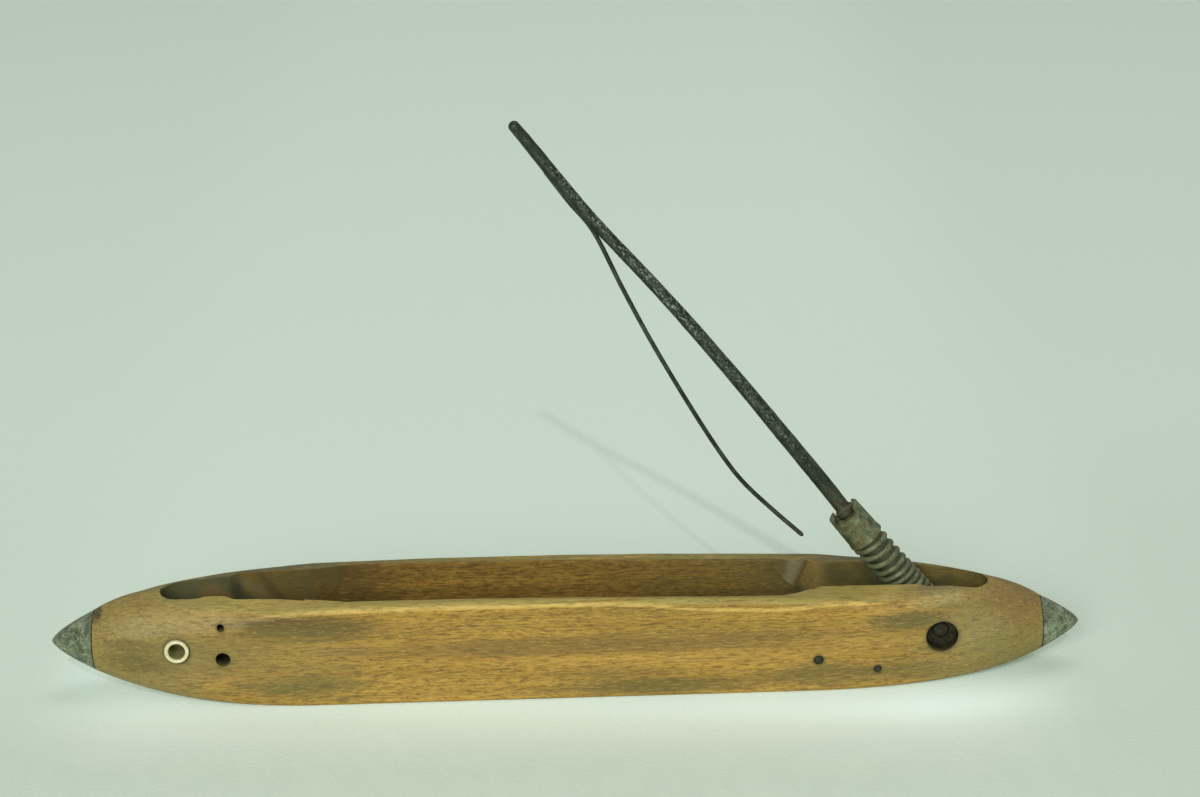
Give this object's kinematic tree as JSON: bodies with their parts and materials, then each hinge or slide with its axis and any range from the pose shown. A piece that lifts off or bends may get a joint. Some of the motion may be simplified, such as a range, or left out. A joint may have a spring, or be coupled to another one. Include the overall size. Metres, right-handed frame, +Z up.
{
  "type": "weaving shuttle",
  "caption": "Boat-shaped wooden loom shuttle: long open well, steel-pointed ends, thread eye in one wall, and a hinged steel tongue with coil and grip wire that carries the pirn.",
  "frame": {"origin": "on the flat underside, at mid length and mid width", "axes": "+X along the shuttle towards the tongue's hinge, +Y towards the wall without the thread eye, +Z up"},
  "size_m": [0.4, 0.0462, 0.2239],
  "materials": {
    "shuttle_wood": "oiled hardwood, worn, with grey-olive stains along the grain",
    "point_steel": "dark steel with pale worn patches",
    "tongue_iron": "blackened iron with worn highlights",
    "rusty_steel": "dull steel with light rust",
    "porcelain": "glazed cream porcelain"
  },
  "bodies": {
    "shuttle": {"shuttle_body": "shuttle_wood", "left_point": "point_steel", "right_point": "point_steel", "thread_eye": "porcelain", "hinge_pin": "rusty_steel", "outer_cross_pin": "rusty_steel", "inner_cross_pin": "rusty_steel", "heel_spring": "tongue_iron"},
    "tongue": {"tongue_rod": "tongue_iron", "tongue_collar": "rusty_steel", "coil_spring": "rusty_steel"},
    "grip_wire": {"grip_spring": "tongue_iron"}
  },
  "joints": [
    {"name": "tongue_fold", "type": "hinge", "parent": "shuttle", "child": "tongue", "pos_m": [0.1446, 0, 0.02097], "axis": [0, -1, 0], "range_deg": [-4, 49]},
    {"name": "grip_flex", "type": "hinge", "parent": "tongue", "child": "grip_wire", "pos_m": [0.01574, 0, 0.18045], "axis": [0, -1, 0], "range_deg": [-0.3, 2.6]}
  ],
  "couplings": [
    {"joint": "grip_flex", "follows": "tongue_fold", "ratio": 0.05}
  ]
}
